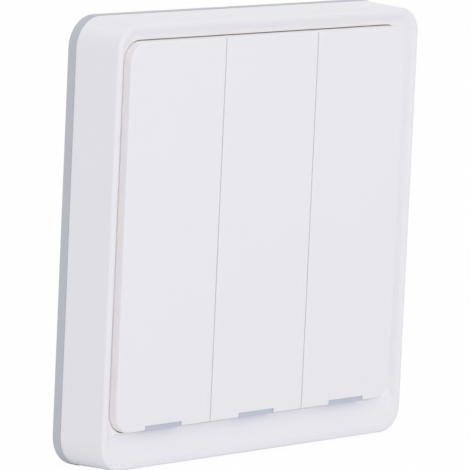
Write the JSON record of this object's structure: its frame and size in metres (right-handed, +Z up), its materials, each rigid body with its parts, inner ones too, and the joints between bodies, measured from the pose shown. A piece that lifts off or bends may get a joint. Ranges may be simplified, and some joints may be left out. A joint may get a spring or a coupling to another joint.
{
  "type": "wireless wall switch",
  "caption": "Square battery wall remote: long rocker keys in a dished white bezel, clipped on a grey wall plate; each tilts to press a switch on a radio board.",
  "frame": {"origin": "centre of the mounting plate's rear face, which lies on the wall", "axes": "+X to the user's right, +Y into the wall, +Z up"},
  "size_m": [0.086, 0.0126, 0.086],
  "materials": {
    "plate_grey": "fine matt moulding",
    "frame_white": "fine satin moulding",
    "key_white": "fine satin moulding",
    "carrier_white": "plain moulding",
    "guide_clear": "smoky clear moulding, polished",
    "board_green": "solder mask on glass laminate",
    "cell_steel": "pressed nickel-plated steel",
    "holder_black": "glass-filled moulding",
    "contact_metal": "nickel-plated spring strip",
    "chip_black": "moulded package with tinned legs",
    "can_metal": "drawn metal lid on a ceramic base",
    "coil_copper": "enamelled wire",
    "screw_steel": "zinc-plated",
    "passive_body": "ceramic with tinned ends",
    "tact_black": "moulded case with tinned legs",
    "plunger_plastic": "plain moulding",
    "led_lens": "pale case with a clear lens"
  },
  "bodies": {
    "switch": {"mounting_plate": "plate_grey", "frame": "frame_white", "key_carrier": "carrier_white", "circuit_board": "board_green", "coin_cell": "cell_steel", "battery_holder": "holder_black", "cell_clip": "contact_metal", "cell_contact": "contact_metal", "controller_chip": "chip_black", "quartz_crystal": "can_metal", "antenna_coil": "coil_copper", "board_screws": "screw_steel", "chip_passives": "passive_body", "tact_switch_left": "tact_black", "tact_switch_middle": "tact_black", "tact_switch_right": "tact_black", "indicator_led_left": "led_lens", "indicator_led_middle": "led_lens", "indicator_led_right": "led_lens"},
    "key_left": {"key_left": "key_white", "light_guide_left": "guide_clear"},
    "plunger_left": {"tact_plunger_left": "plunger_plastic"},
    "key_middle": {"key_middle": "key_white", "light_guide_middle": "guide_clear"},
    "plunger_middle": {"tact_plunger_middle": "plunger_plastic"},
    "key_right": {"key_right": "key_white", "light_guide_right": "guide_clear"},
    "plunger_right": {"tact_plunger_right": "plunger_plastic"}
  },
  "joints": [
    {"name": "rocker_left", "type": "hinge", "parent": "switch", "child": "key_left", "pos_m": [-0.0258, -0.0096, 0.034], "axis": [1, 0, 0], "range_deg": [0, 0.9], "stiffness_Nm_per_rad": 5},
    {"name": "press_left", "type": "slide", "parent": "switch", "child": "plunger_left", "axis": [0, 1, 0], "range_m": [0, 0.00075]},
    {"name": "rocker_middle", "type": "hinge", "parent": "switch", "child": "key_middle", "pos_m": [0, -0.0096, 0.034], "axis": [1, 0, 0], "range_deg": [0, 0.9], "stiffness_Nm_per_rad": 5},
    {"name": "press_middle", "type": "slide", "parent": "switch", "child": "plunger_middle", "axis": [0, 1, 0], "range_m": [0, 0.00075]},
    {"name": "rocker_right", "type": "hinge", "parent": "switch", "child": "key_right", "pos_m": [0.0258, -0.0096, 0.034], "axis": [1, 0, 0], "range_deg": [0, 0.9], "stiffness_Nm_per_rad": 5},
    {"name": "press_right", "type": "slide", "parent": "switch", "child": "plunger_right", "axis": [0, 1, 0], "range_m": [0, 0.00075]}
  ],
  "couplings": [
    {"joint": "press_left", "follows": "rocker_left", "m_per_rad": 0.045},
    {"joint": "press_middle", "follows": "rocker_middle", "m_per_rad": 0.045},
    {"joint": "press_right", "follows": "rocker_right", "m_per_rad": 0.045}
  ]
}
